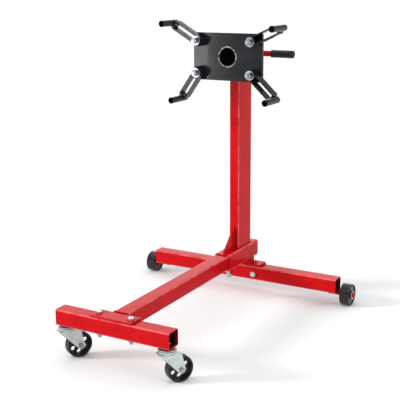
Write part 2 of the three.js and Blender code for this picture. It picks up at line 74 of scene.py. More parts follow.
# ---- Materials ----
class Nodes:
    """Adds shader nodes to one material and links them."""

    def __init__(self, name):
        self.material = bpy.data.materials.new(name)
        self.material.use_nodes = True
        self.tree = self.material.node_tree
        self.shader = self.tree.nodes["Principled BSDF"]
        self.position = self.tree.nodes.new("ShaderNodeTexCoord").outputs["Object"]

    def link(self, source, target):
        self.tree.links.new(source, target)

    def noise(self, scale, detail=2.0, rough=0.5, stretch=None):
        node = self.tree.nodes.new("ShaderNodeTexNoise")
        node.inputs["Scale"].default_value = scale
        node.inputs["Detail"].default_value = detail
        node.inputs["Roughness"].default_value = rough
        source = self.position
        if stretch:
            mapping = self.tree.nodes.new("ShaderNodeMapping")
            mapping.inputs["Scale"].default_value = stretch
            self.link(self.position, mapping.inputs["Vector"])
            source = mapping.outputs["Vector"]
        self.link(source, node.inputs["Vector"])
        return node.outputs["Fac"]

    def cells(self, scale):
        node = self.tree.nodes.new("ShaderNodeTexVoronoi")
        node.inputs["Scale"].default_value = scale
        self.link(self.position, node.inputs["Vector"])
        return node.outputs["Distance"]

    def remap(self, source, low, high, to_low, to_high):
        node = self.tree.nodes.new("ShaderNodeMapRange")
        node.inputs["From Min"].default_value = low
        node.inputs["From Max"].default_value = high
        node.inputs["To Min"].default_value = to_low
        node.inputs["To Max"].default_value = to_high
        self.link(source, node.inputs["Value"])
        return node.outputs["Result"]

    def blend(self, factor, first, second):
        node = self.tree.nodes.new("ShaderNodeMix")
        node.data_type = "RGBA"
        self.link(factor, node.inputs["Factor"])
        for value, socket in ((first, node.inputs[6]), (second, node.inputs[7])):
            if isinstance(value, tuple):
                socket.default_value = (*value, 1.0)
            else:
                self.link(value, socket)
        return node.outputs[2]

    def value_blend(self, factor, first, second):
        node = self.tree.nodes.new("ShaderNodeMix")
        node.data_type = "FLOAT"
        self.link(factor, node.inputs["Factor"])
        self.link(first, node.inputs[2])
        node.inputs[3].default_value = second
        return node.outputs[0]

    def bump(self, height, distance, strength=1.0, under=None):
        node = self.tree.nodes.new("ShaderNodeBump")
        node.inputs["Strength"].default_value = strength
        node.inputs["Distance"].default_value = distance
        self.link(height, node.inputs["Height"])
        if under is not None:
            self.link(under, node.inputs["Normal"])
        return node.outputs["Normal"]

    def mark(self, name):
        """A mark from 0 to 1 that meshes carry: inside is unpainted steel darkened as painted
        shade, edge is a painted highlight along a rounded corner.
        """
        node = self.tree.nodes.new("ShaderNodeAttribute")
        node.attribute_name = name
        return node.outputs["Fac"]

    def product(self, first, second):
        node = self.tree.nodes.new("ShaderNodeMath")
        node.operation = "MULTIPLY"
        self.link(first, node.inputs[0])
        self.link(second, node.inputs[1])
        return node.outputs["Value"]


def set_shader(nodes, color=None, roughness=None, normal=None, metallic=None, **constants):
    shader = nodes.shader
    if color is not None:
        nodes.link(color, shader.inputs["Base Color"])
    if isinstance(roughness, float):
        shader.inputs["Roughness"].default_value = roughness
    elif roughness is not None:
        nodes.link(roughness, shader.inputs["Roughness"])
    if normal is not None:
        nodes.link(normal, shader.inputs["Normal"])
    if isinstance(metallic, float):
        shader.inputs["Metallic"].default_value = metallic
    elif metallic is not None:
        nodes.link(metallic, shader.inputs["Metallic"])
    for name, value in constants.items():
        shader.inputs[name.replace("_", " ")].default_value = value
    return nodes.material


def red_paint():
    n = Nodes("red_powder_coat")
    tone = n.remap(n.noise(18.0, 3.0), 0.35, 0.65, 0.0, 1.0)
    paint = n.blend(tone, (0.44, 0.0030, 0.006), (0.50, 0.0043, 0.008))
    # edge: lighter red streaks along the rounded corners, a painted highlight
    painted_highlight_mix = n.remap(n.noise(35.0, 4.0, 0.6), 0.40, 0.60, 0.35, 0.85)
    paint = n.blend(n.product(n.mark("edge"), painted_highlight_mix), paint, (0.80, 0.17, 0.16))
    scale = n.remap(n.noise(90.0, 4.0, 0.6), 0.35, 0.65, 0.0, 1.0)
    # inner walls: unpainted steel, its near-black tone partly painted shade
    shaded_bare_steel = n.blend(scale, (0.006, 0.004, 0.004), (0.016, 0.010, 0.009))
    color = n.blend(n.mark("bare_with_shade"), paint, shaded_bare_steel)
    normal = n.bump(n.noise(420.0, 2.0, 0.45), 0.00012, 0.45)
    gloss = n.remap(n.noise(60.0, 4.0, 0.6), 0.3, 0.7, 0.16, 0.27)
    rough = n.value_blend(n.mark("bare_with_shade"), gloss, 0.8)
    return set_shader(
        n, color, rough, normal, 0.0,
        Specular_IOR_Level=0.05, Coat_Weight=0.04, Coat_Roughness=0.04,
    )


def black_paint():
    n = Nodes("black_powder_coat")
    tone = n.remap(n.noise(25.0, 3.0), 0.35, 0.65, 0.0, 1.0)
    paint = n.blend(tone, (0.0085, 0.0082, 0.0105), (0.014, 0.0135, 0.017))
    # the bore: unpainted steel, darker than the paint as painted shade
    color = n.blend(n.mark("bare_with_shade"), paint, (0.0015, 0.0015, 0.0015))
    fine = n.bump(n.noise(520.0, 3.0, 0.55), 0.00014, 0.4)
    normal = n.bump(n.noise(190.0, 2.0, 0.5), 0.0003, 0.42, fine)
    gloss = n.remap(n.noise(70.0, 4.0, 0.6), 0.3, 0.7, 0.07, 0.15)
    rough = n.value_blend(n.mark("bare_with_shade"), gloss, 0.9)
    return set_shader(
        n, color, rough, normal, 0.0,
        Specular_IOR_Level=0.12, Coat_Weight=0.12, Coat_Roughness=0.03,
    )


def zinc_plate():
    n = Nodes("bright_zinc")
    tone = n.remap(n.noise(90.0, 3.0), 0.35, 0.65, 0.0, 1.0)
    color = n.blend(tone, (0.21, 0.245, 0.27), (0.34, 0.37, 0.39))
    rough = n.remap(n.noise(220.0, 4.0, 0.7), 0.3, 0.7, 0.12, 0.28)
    normal = n.bump(n.noise(900.0, 3.0, 0.6), 0.00004, 0.6)
    return set_shader(n, color, rough, normal, 1.0)


def fork_zinc():
    n = Nodes("stamped_zinc")
    tone = n.remap(n.noise(55.0, 4.0), 0.35, 0.65, 0.0, 1.0)
    color = n.blend(tone, (0.47, 0.53, 0.51), (0.60, 0.64, 0.62))
    rough = n.remap(n.noise(140.0, 5.0, 0.7), 0.3, 0.7, 0.26, 0.44)
    scratches = n.noise(300.0, 3.0, 0.7, (1.0, 1.0, 6.0))
    normal = n.bump(scratches, 0.00005, 0.5)
    return set_shader(n, color, rough, normal, 0.9)


def wheel_plastic(name, low, high, gloss):
    n = Nodes(name)
    tone = n.remap(n.noise(40.0, 3.0), 0.35, 0.65, 0.0, 1.0)
    color = n.blend(tone, (0.007, 0.007, 0.008), (0.014, 0.014, 0.015))
    rough = n.remap(n.noise(110.0, 4.0, 0.65), 0.3, 0.7, low, high)
    normal = n.bump(n.noise(700.0, 3.0, 0.6), 0.00006, 0.6)
    return set_shader(
        n, color, rough, normal, 0.0,
        Specular_IOR_Level=0.25, Coat_Weight=gloss, Coat_Roughness=0.06,
    )


def grip_material():
    n = Nodes("grip_foam")
    tone = n.remap(n.noise(150.0, 4.0), 0.3, 0.7, 0.0, 1.0)
    color = n.blend(tone, (0.008, 0.008, 0.009), (0.016, 0.016, 0.017))
    grain = n.bump(n.cells(900.0), 0.0002, 0.6)
    normal = n.bump(n.noise(350.0, 3.0), 0.0002, 0.3, grain)
    rough = n.remap(n.noise(200.0, 3.0), 0.3, 0.7, 0.45, 0.62)
    return set_shader(n, color, rough, normal, 0.0, Specular_IOR_Level=0.3)


def bare_weld():
    """Weld metal with black paint worn off its high spots."""
    n = Nodes("bare_weld")
    worn = n.remap(n.noise(160.0, 4.0, 0.6), 0.42, 0.54, 0.0, 1.0)
    color = n.blend(worn, (0.012, 0.012, 0.014), (0.70, 0.70, 0.72))
    normal = n.bump(n.noise(520.0, 4.0, 0.6), 0.0004, 0.7)
    rough = n.remap(n.noise(260.0, 3.0), 0.3, 0.7, 0.15, 0.35)
    return set_shader(n, color, rough, normal, worn)


RED = red_paint()
BLACK = black_paint()
ZINC = zinc_plate()
FORK = fork_zinc()
WHEEL = wheel_plastic("polished_wheel", 0.18, 0.30, 0.15)
CASTER = wheel_plastic("moulded_wheel", 0.30, 0.45, 0.0)
GRIP = grip_material()
BARE = bare_weld()
FINISHES = {
    "red_paint": RED,
    "black_paint": BLACK,
    "zinc": ZINC,
    "wheel_plastic": WHEEL,
    "caster_plastic": CASTER,
    "grip_foam": GRIP,
}

# ---- Mesh helpers. Each shape is built along its local +Z and then put in place by a matrix. ----
TURNS = {
    "x": Matrix(((0, 0, 1), (1, 0, 0), (0, 1, 0))),
    "y": Matrix(((0, 1, 0), (0, 0, 1), (1, 0, 0))),
    "z": Matrix.Identity(3),
}


def at(axis, point=(0.0, 0.0, 0.0), flip=False):
    """Local Z along an axis through a point. Local X and Y are Y and Z for x, Z and X for y."""
    turn = TURNS[axis].to_4x4()
    if flip:
        turn = turn @ Matrix.Rotation(math.pi, 4, "X")
    return Matrix.Translation(Vector(point)) @ turn


def frame_of(x_axis, z_axis, point):
    z = Vector(z_axis).normalized()
    x = Vector(x_axis).normalized()
    y = z.cross(x)
    rows = Matrix((x, y, z)).transposed().to_4x4()
    return Matrix.Translation(Vector(point)) @ rows


def loft(rings, closed=False):
    mesh = bmesh.new()
    rows = [[mesh.verts.new(point) for point in ring] for ring in rings]
    pairs = list(zip(rows, rows[1:]))
    if closed:
        pairs.append((rows[-1], rows[0]))
    for first, second in pairs:
        count = len(first)
        for i in range(count):
            j = (i + 1) % count
            mesh.faces.new((first[i], first[j], second[j], second[i]))
    if not closed:
        mesh.faces.new(list(reversed(rows[0])))
        mesh.faces.new(rows[-1])
    return mesh


def join(*meshes):
    """One bmesh that holds several closed shells."""
    whole = bmesh.new()
    for part in meshes:
        copy = bpy.data.meshes.new("part")
        part.to_mesh(copy)
        whole.from_mesh(copy)
        bpy.data.meshes.remove(copy)
        part.free()
    return whole


def moved(mesh, matrix):
    mesh.transform(matrix)
    return mesh


def circle(radius, height, sides=48, phase=0.0):
    step = 2 * math.pi / sides
    return [
        (radius * math.cos(i * step + phase), radius * math.sin(i * step + phase), height)
        for i in range(sides)
    ]


def lathe(profile, sides=48, closed=False):
    return loft([circle(radius, height, sides) for radius, height in profile], closed)


def rounded(points, radius, steps=3):
    """A closed profile whose corners are rounded off."""
    made = []
    count = len(points)
    for i in range(count):
        here = Vector(points[i])
        before = Vector(points[i - 1]) - here
        after = Vector(points[(i + 1) % count]) - here
        size = radius[i] if isinstance(radius, (list, tuple)) else radius
        reach = min(size, before.length * 0.45, after.length * 0.45)
        if reach <= 0:
            made.append(tuple(here))
            continue
        start = here + before.normalized() * reach
        end = here + after.normalized() * reach
        for k in range(steps + 1):
            t = k / steps
            point = start * (1 - t) ** 2 + here * 2 * t * (1 - t) + end * t ** 2
            made.append(tuple(point))
    return made


def ring_solid(outer, inner, low, high, bevel, sides=48):
    """A hollow round part with rounded rims."""
    corners = [(outer, low), (outer, high), (inner, high), (inner, low)]
    return lathe(rounded(corners, bevel), sides, closed=True)


def rectangle_ring(width, height, radius, level, steps=6, along=1):
    """A rounded rectangle; along adds points to each straight side."""
    made = []
    radius = max(radius, 0.2 * MM)
    x, y = width / 2 - radius, height / 2 - radius
    corners = ((x, y, 0), (-x, y, 90), (-x, -y, 180), (x, -y, 270))
    for i, (cx, cy, start) in enumerate(corners):
        for k in range(steps + 1):
            angle = math.radians(start + 90 * k / steps)
            made.append((cx + radius * math.cos(angle), cy + radius * math.sin(angle), level))
        last = Vector(made[-1])
        nx, ny, following = corners[(i + 1) % 4]
        angle = math.radians(following)
        first = Vector((nx + radius * math.cos(angle), ny + radius * math.sin(angle), level))
        for k in range(1, along):
            made.append(tuple(last.lerp(first, k / along)))
    return made


def square_tube(width, height, radius, wall, low, high, bevel=0.5 * MM):
    corners = [(0, low), (0, high), (wall, high), (wall, low)]
    profile = rounded(corners, bevel)
    split = next(
        i for i, (inset, level) in enumerate(profile)
        if inset > wall - 0.01 * MM and level < (low + high) / 2
    )
    deep = [high - 3 * MM, high - 14 * MM, low + 14 * MM, low + 3 * MM]
    profile[split:split] = [(wall, level) for level in deep]
    rings = [
        rectangle_ring(width - 2 * inset, height - 2 * inset, radius - inset, level)
        for inset, level in profile
    ]
    return loft(rings, closed=True)


def prism(outline, low, high, bevel, steps=2):
    """A straight extrusion of an outline, with every sharp edge rounded."""
    mesh = bmesh.new()
    face = mesh.faces.new([mesh.verts.new((x, y, low)) for x, y in outline])
    made = bmesh.ops.extrude_face_region(mesh, geom=[face])
    for vertex in made["geom"]:
        if isinstance(vertex, bmesh.types.BMVert):
            vertex.co.z = high
    bmesh.ops.recalc_face_normals(mesh, faces=mesh.faces)
    sharp = [e for e in mesh.edges if e.calc_face_angle(0) > math.radians(30)]
    bmesh.ops.bevel(mesh, geom=sharp, offset=bevel, segments=steps, profile=0.5, affect="EDGES")
    return mesh


def box_between(low, high, bevel):
    outline = [(low[0], low[1]), (high[0], low[1]), (high[0], high[1]), (low[0], high[1])]
    return prism(outline, low[2], high[2], bevel)


def hex_radius(angle, flats):
    side = math.pi / 3
    return flats / 2 / math.cos((angle + side / 2) % side - side / 2)


def hex_ring(flats, limit, height, sides=48):
    step = 2 * math.pi / sides
    made = []
    for i in range(sides):
        radius = min(hex_radius(i * step, flats), limit)
        made.append((radius * math.cos(i * step), radius * math.sin(i * step), height))
    return made


def hex_side(flats, low, high, low_chamfer, high_chamfer):
    """Rings from low to high up the side of a hexagon; chamfered ends curve in at the corners."""
    rings = []
    depth = flats * 0.06
    levels = [0.0, 0.25, 0.5, 0.75, 1.0]
    face = flats * 0.475
    if low_chamfer:
        rings += [hex_ring(flats, face + t * depth * 1.732, low + t * depth) for t in levels]
    else:
        rings.append(hex_ring(flats, flats, low))
    if high_chamfer:
        rings += [hex_ring(flats, face + t * depth * 1.732, high - t * depth) for t in levels[::-1]]
    else:
        rings.append(hex_ring(flats, flats, high))
    return rings


def thread_rings(radius, low, high, pitch, sides=48):
    rings = []
    steps = max(4, int((high - low) / pitch * 4))
    for k in range(steps + 1):
        height = low + (high - low) * k / steps
        ring = []
        for i in range(sides):
            angle = 2 * math.pi * i / sides
            turn = (height / pitch - i / sides) % 1.0
            depth = abs(turn * 2 - 1)
            fade = min(1.0, (high - height) / pitch)
            r = radius - pitch * (0.5 * depth + 0.35 * (1 - fade))
            ring.append((r * math.cos(angle), r * math.sin(angle), height))
        rings.append(ring)
    return rings


def bolt_mesh(flats, head, radius, length, thread, pitch):
    """Head from -head to 0, shank to length; the last stretch of it is threaded."""
    rings = [circle(flats * 0.40, -head, 48)]
    rings += hex_side(flats, -head, 0, True, False)
    rings.append(circle(radius, 0))
    if length - thread > 1 * MM:
        rings.append(circle(radius, length - thread - 0.5 * MM))
    rings += thread_rings(radius, length - thread, length, pitch)
    rings.append(circle(radius * 0.7, length))
    return loft(rings)


def nut_mesh(flats, height, bore):
    rings = [circle(bore, 0.6 * MM), circle(bore + 0.8 * MM, 0)]
    rings += hex_side(flats, 0, height, True, True)
    rings += [circle(bore + 0.8 * MM, height), circle(bore, height - 0.6 * MM)]
    return loft(rings, closed=True)


def resample(points, spacing, closed=False):
    path = [Vector(p) for p in points]
    if closed:
        path.append(path[0])
    lengths = [0.0]
    for a, b in zip(path, path[1:]):
        lengths.append(lengths[-1] + (b - a).length)
    count = max(3, int(lengths[-1] / spacing))
    made = []
    k = 0
    for i in range(count + (0 if closed else 1)):
        target = lengths[-1] * i / count
        while k < len(lengths) - 2 and lengths[k + 1] < target:
            k += 1
        part = (target - lengths[k]) / max(lengths[k + 1] - lengths[k], 1e-9)
        made.append(path[k].lerp(path[k + 1], part))
    return made


def sweep(points, radius_at, closed=False, sides=8, up=(0.0, 0.0, 1.0)):
    """A round bar along points; radius_at gives its radius at each point's number."""
    rings = []
    count = len(points)
    side = None
    for i, point in enumerate(points):
        ahead = points[(i + 1) % count] if closed else points[min(i + 1, count - 1)]
        behind = points[i - 1] if closed or i else points[0]
        forward = (ahead - behind).normalized()
        if side is None:
            helper = Vector(up) if abs(forward.dot(Vector(up))) < 0.9 else Vector((1.0, 0.2, 0.1))
            side = forward.cross(helper).normalized()
        side = (side - forward * side.dot(forward)).normalized()
        other = forward.cross(side)
        r = radius_at(i)
        ring = []
        for k in range(sides):
            angle = 2 * math.pi * k / sides
            ring.append(point + side * (r * math.cos(angle)) + other * (r * math.sin(angle)))
        rings.append(ring)
    return loft(rings, closed)


def bead_mesh(points, radius, closed=False, spacing=0.9 * MM, ripple=3.2 * MM):
    """A weld bead: a rippled, slightly uneven bar along a seam."""
    path = resample(points, spacing, closed)

    def radius_at(i):
        wave = abs(math.sin(math.pi * i * spacing / ripple))
        uneven = noise.noise(path[i] * 140.0)
        return radius * (0.82 + 0.18 * wave + 0.16 * uneven)

    return sweep(path, radius_at, closed)


# ---- Pieces ----
def piece(name, mesh, body, slot, replaces=(), material=None, angle=38.0, bare_with_shade=None, edge=None):
    """inside says how far a point is unpainted steel darkened as painted shade, and edge how much
    painted highlight its rounded corner gets, from 0 to 1.
    """
    bmesh.ops.recalc_face_normals(mesh, faces=mesh.faces)
    data = bpy.data.meshes.new(name)
    mesh.to_mesh(data)
    mesh.free()
    for label, rule in (("bare_with_shade", bare_with_shade), ("edge", edge)):
        marks = data.attributes.new(label, "FLOAT", "POINT")
        if rule:
            marks.data.foreach_set("value", [rule(vertex.co) for vertex in data.vertices])
    data.shade_smooth()
    data.set_sharp_from_angle(angle=math.radians(angle))
    data.materials.append(material or FINISHES[slot])
    thing = bpy.data.objects.new(name, data)
    bpy.context.scene.collection.objects.link(thing)
    even = thing.modifiers.new("even_normals", "WEIGHTED_NORMAL")
    even.keep_sharp = True
    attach(thing, body)
    if replaces:
        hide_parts(*replaces)
    return thing


def middle(node):
    low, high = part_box(node)
    return (low + high) / 2


def with_holes(mesh, cutters):
    """Cuts closed shells out of a mesh."""
    objects = []
    for part in (mesh, cutters):
        bmesh.ops.recalc_face_normals(part, faces=part.faces)
        data = bpy.data.meshes.new("cut")
        part.to_mesh(data)
        part.free()
        thing = bpy.data.objects.new("cut", data)
        bpy.context.scene.collection.objects.link(thing)
        objects.append(thing)
    body, tool = objects
    cut = body.modifiers.new("cut", "BOOLEAN")
    cut.object = tool
    cut.operation = "DIFFERENCE"
    cut.solver = "EXACT"
    shown = body.evaluated_get(bpy.context.evaluated_depsgraph_get())
    made = bmesh.new()
    made.from_mesh(shown.to_mesh())
    shown.to_mesh_clear()
    for thing in objects:
        data = thing.data
        bpy.data.objects.remove(thing)
        bpy.data.meshes.remove(data)
    return made


# the edge mark it gives places a painted highlight along the corner
def corner_highlight(centre, size, first, second, corner):
    """A rule that says how near a point is to the middle of a tube's rounded corner."""

    def edge(point):
        away = point - centre
        short = size[first] / 2 - abs(away[first]) + size[second] / 2 - abs(away[second])
        return min(1.0, max(0.0, (corner - short) / (0.4 * corner)))

    return edge


def tube_piece(node, axis, body, wall=TUBE_WALL, corner=TUBE_CORNER, drill=None):
    """A rounded square tube that fills a node's box. drill is a closed shell to cut out of it."""
    low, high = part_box(node)
    k = "xyz".index(axis)
    first, second = {"x": (1, 2), "y": (2, 0), "z": (0, 1)}[axis]
    size = high - low
    centre = (low + high) / 2
    half = size[k] / 2
    mesh = square_tube(size[first], size[second], corner, wall, -half, half)

    # bare inner walls, darker further from the open end: unpainted steel, with that deepening
    # painted shade
    def bare_with_shade(point):
        away = point - centre
        across = min(size[first] / 2 - abs(away[first]), size[second] / 2 - abs(away[second]))
        if across < wall - 0.1 * MM:
            return 0.0
        return min(1.0, 0.35 + (half - abs(away[k])) / (9 * MM))

    # painted highlight along the tube's rounded corners
    edge = corner_highlight(centre, size, first, second, corner)
    mesh = moved(mesh, at(axis, centre))
    if drill:
        mesh = with_holes(mesh, drill)
    piece(node + "_tube", mesh, body, "red_paint", [node], bare_with_shade=bare_with_shade, edge=edge)


def bolt_piece(node, axis, towards, body, flats, head, radius, pitch, thread, material=None):
    low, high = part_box(node)
    k = "xyz".index(axis)
    centre = (low + high) / 2
    length = high[k] - low[k] - head
    start = low[k] + head if towards > 0 else high[k] - head
    centre[k] = start
    mesh = bolt_mesh(flats, head, radius, length, min(thread, length - 0.5 * MM), pitch)
    mesh = moved(mesh, at(axis, centre, towards < 0))
    piece(node + "_threaded", mesh, body, "zinc", [node], material)


def nut_piece(node, axis, body, flats, bore, insert=0.0):
    """insert is how much of the height is the round collar of a lock nut, below."""
    low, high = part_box(node)
    k = "xyz".index(axis)
    centre = (low + high) / 2
    height = high[k] - low[k] - insert
    centre[k] = low[k] + insert
    mesh = nut_mesh(flats, height, bore)
    if insert:
        collar = ring_solid(flats * 0.46, bore - 0.1 * MM, -insert, 0.2 * MM, 0.8 * MM)
        mesh = join(mesh, collar)
    piece(node + "_hex", moved(mesh, at(axis, centre)), body, "zinc", [node])


def weld(name, points, radius, body, closed=False, slot="red_paint", material=None):
    mesh = bead_mesh(points, radius, closed)
    piece("weld_" + name, mesh, body, slot, material=material, angle=60.0)


def round_path(radius, axis, point, count=72):
    matrix = at(axis, point)
    return [matrix @ Vector(p) for p in circle(radius, 0.0, count)]


def build_rear():
    tube_piece("rear_crossbar", "x", "base")
    low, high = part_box("saddle_plate")
    bar_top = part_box("rear_crossbar")[1].z
    under = bar_top + 0.3 * MM
    inner = high.y - 6 * MM
    outline = [(low.y, under), (inner, under), (inner, low.z), (high.y, low.z)]
    outline += [
        (high.y - 7 * MM + 7 * MM * math.cos(a), high.z - 7 * MM + 7 * MM * math.sin(a))
        for a in (math.radians(15 * k) for k in range(7))
    ]
    outline += [(low.y, high.z)]
    mesh = prism(outline, low.x, high.x, 0.9 * MM)
    piece("saddle_bent_plate", moved(mesh, at("x")), "base", "red_paint", ["saddle_plate"])

    riser_low, riser_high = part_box("riser_block")
    mesh = box_between(riser_low, riser_high, 1.2 * MM)
    piece("riser", mesh, "base", "red_paint", ["riser_block"])
    for name, level in (("riser_foot", riser_low.z), ("riser_top", riser_high.z)):
        x, y0, y1 = riser_high.x, riser_low.y, riser_high.y
        corners = [(-x, y0, level), (x, y0, level), (x, y1, level), (-x, y1, level)]
        weld(name, corners, 2.1 * MM, "base", closed=True)

    for side, _ in SIDES:
        node = f"saddle_bolt_{side}"
        bolt_piece(node, "y", 1, "base", *M12_BOLT, 30 * MM, FORK)
        nut_piece(f"saddle_nut_{side}", "y", "base", M12_FLATS, M12_RADIUS)


def build_rear_wheel(side, sign):
    node = f"rear_wheel_{side}"
    spin = JOINTS[f"{node}_spin"]
    low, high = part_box(node)
    radius = (high.z - low.z) / 2
    half = (high.x - low.x) / 2
    bore = 8.4 * MM
    hub = 13.5 * MM
    deep = 3.2 * MM
    hub_foot, rim_foot, rim = hub + 1.2 * MM, radius - 7 * MM, radius - 5.6 * MM
    profile = [
        (bore, -half), (hub, -half), (hub_foot, -half + deep), (rim_foot, -half + deep),
        (rim, -half), (radius, -half), (radius, half), (rim, half),
        (rim_foot, half - deep), (hub_foot, half - deep), (hub, half), (bore, half),
    ]
    sizes = [0.5, 0.8, 1.5, 1.5, 1.2, 4.6, 4.6, 1.2, 1.5, 1.5, 0.8, 0.5]
    mesh = lathe(rounded(profile, [s * MM for s in sizes], 6), 96, closed=True)
    piece(f"{node}_moulded", moved(mesh, at("x", spin["pos_m"])), node, "wheel_plastic", [node])

    node = f"stub_axle_{side}"
    low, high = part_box(node)
    start, end = (low.x, high.x) if sign > 0 else (high.x, low.x)
    length = abs(end - start)
    collar = abs(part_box(f"rear_wheel_{side}")[0 if sign > 0 else 1].x - start)
    axle = 8 * MM
    profile = [
        (0.4 * MM, 0), (axle, 0), (axle, collar - 5 * MM), (11.5 * MM, collar - 5 * MM),
        (11.5 * MM, collar - 1 * MM), (axle, collar - 1 * MM), (axle, length), (0.4 * MM, length),
    ]
    mesh = lathe(rounded(profile, [0, 1 * MM, 0, 0.6 * MM, 0.6 * MM, 0, 1.4 * MM, 0]), 48)
    centre = (start, spin["pos_m"][1], spin["pos_m"][2])
    piece(f"{node}_rod", moved(mesh, at("x", centre, sign < 0)), "base", "red_paint", [node])
    for edge, offset in (("front", -7.5), ("rear", 7.5)):
        x0, x1 = start + sign * 3 * MM, start + sign * 38 * MM
        y, z = spin["pos_m"][1] + offset * MM, spin["pos_m"][2] + 7 * MM
        weld(f"{node}_{edge}", [(x0, y, z), (x1, y, z)], 1.9 * MM, "base")

    node = f"axle_washer_{side}"
    low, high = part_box(node)
    thick = high.x - low.x
    mesh = ring_solid(15 * MM, 8.2 * MM, -thick / 2, thick / 2, 0.6 * MM)
    piece(f"{node}_turned", moved(mesh, at("x", middle(node))), "base", "zinc", [node], FORK)

    # cotter pin: two wires side by side, that spread into an eye above the axle
    face = high.x + 1.6 * MM if sign > 0 else low.x - 1.6 * MM
    y, z = spin["pos_m"][1], spin["pos_m"][2]
    loops = []
    for shift in (-0.9, 0.9):
        points = [(face, y + shift * MM, z - 11.5 * MM), (face, y + shift * MM, z + 8.6 * MM)]
        for k in range(1, 8):
            turn = math.radians(180 * k / 8)
            wide = 0.9 + 2.2 * math.sin(turn)
            rise = 8.6 + 5.5 * (1 - math.cos(turn)) / 2
            points.append((face, y + shift * wide / 0.9 * MM, z + rise * MM))
        loops.append(points)
    for i, points in enumerate(loops):
        path = resample(points, 1.2 * MM)
        mesh = sweep(path, lambda _: 0.85 * MM, sides=10)
        piece(f"cotter_pin_{side}_{'ab'[i]}", mesh, "base", "zinc")


def build_leg_and_sleeve():
    tube_piece("leg", "y", "front_leg")
    screw = middle("clamp_screw")
    sleeve_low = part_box("sleeve")[0].z
    drill = lathe([(M12_HOLE, sleeve_low - PAST), (M12_HOLE, sleeve_low + PAST)])
    drill = moved(drill, Matrix.Translation((screw.x, screw.y, 0.0)))
    tube_piece("sleeve", "y", "base", 3.2 * MM, 6 * MM, drill)
    node = "clamp_screw"
    bolt_piece(node, "z", 1, node, *M12_BOLT, 24 * MM, FORK)
    nut_piece("clamp_weld_nut", "z", "base", M12_FLATS, 6.05 * MM)
    nut_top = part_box("clamp_weld_nut")[1].z
    centre = middle("clamp_weld_nut")
    seam = round_path(10.6 * MM, "z", (centre.x, centre.y, nut_top))
    weld("clamp_nut", seam, 1.7 * MM, "base", True)


def build_post():
    low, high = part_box("post")
    housing_low, housing_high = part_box("shaft_housing")
    radius = (housing_high.z - housing_low.z) / 2
    axis_z = (housing_high.z + housing_low.z) / 2
    half_width = (high.x - low.x) / 2
    top = axis_z - math.sqrt(radius ** 2 - half_width ** 2) + 0.3 * MM
    centre = (low + high) / 2
    centre.z = (low.z + top) / 2
    half = (top - low.z) / 2
    width, depth = high.x - low.x, high.y - low.y
    mesh = square_tube(width, depth, POST_CORNER, TUBE_WALL, -half, half)
    # painted highlight along the post's rounded corners
    edge = corner_highlight(centre, high - low, 0, 1, POST_CORNER)
    piece("post_tube", moved(mesh, at("z", centre)), "base", "red_paint", ["post"], edge=edge)
    outline = rectangle_ring(width, depth, POST_CORNER, 0.0)
    foot = [(x, y + centre.y, low.z + 0.2 * MM) for x, y, _ in outline]
    weld("post_foot", foot, 2.3 * MM, "base", True)
    crown = []
    for x, y, _ in outline:
        reach = math.sqrt(radius ** 2 - x ** 2)
        crown.append((x, y + centre.y, axis_z - reach))
    weld("post_top", crown, 2.3 * MM, "base", True)

    low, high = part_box("gusset")
    rise = high.z - low.z
    outline = [(high.y, low.z), (high.y, high.z), (high.y - 4 * MM, high.z),
               (low.y, low.z + 4 * MM), (low.y, low.z)]
    mesh = prism(outline, low.x, high.x, 0.8 * MM)
    piece("gusset_plate", moved(mesh, at("x")), "base", "red_paint", ["gusset"])
    for side, sign in SIDES:
        x, tip = sign * (high.x + 0.4 * MM), low.z + rise - 3 * MM
        points = [(x, low.y + 2 * MM, low.z), (x, high.y, low.z), (x, high.y, tip)]
        weld(f"gusset_{side}", points, 1.8 * MM, "base")
    weld("gusset_toe", [(low.x, low.y, low.z), (high.x, low.y, low.z)], 1.8 * MM, "base")


def build_front():
    tube_piece("front_crossbar", "x", "front_leg")
    low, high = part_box("leg_bracket")
    bar_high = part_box("front_crossbar")[1]
    under = bar_high.z + 0.3 * MM
    inner = bar_high.y + 0.3 * MM
    outline = [(low.y, under), (inner, under), (inner, low.z), (high.y, low.z)]
    outline += [
        (high.y - 5 * MM + 5 * MM * math.cos(a), high.z - 5 * MM + 5 * MM * math.sin(a))
        for a in (math.radians(15 * k) for k in range(7))
    ]
    outline += [(low.y, high.z)]
    mesh = prism(outline, low.x, high.x, 0.8 * MM)
    piece("leg_bent_bracket", moved(mesh, at("x")), "front_leg", "red_paint", ["leg_bracket"])

    leg_low, leg_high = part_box("leg")
    size = leg_high - leg_low
    centre = (leg_low + leg_high) / 2
    outline = rectangle_ring(size.z, size.x, 5 * MM, 0.0)
    seam = [at("y", (centre.x, leg_low.y, centre.z)) @ Vector(p) for p in outline]
    weld("leg_end", seam, 2.2 * MM, "front_leg", True)

    for side, _ in SIDES:
        node = f"bracket_bolt_{side}"
        bolt_piece(node, "z", -1, "front_leg", *M10_BOLT, 24 * MM, FORK)
        nut_piece(f"bracket_nut_{side}", "z", "front_leg", M10_FLATS, M10_RADIUS, 3 * MM)


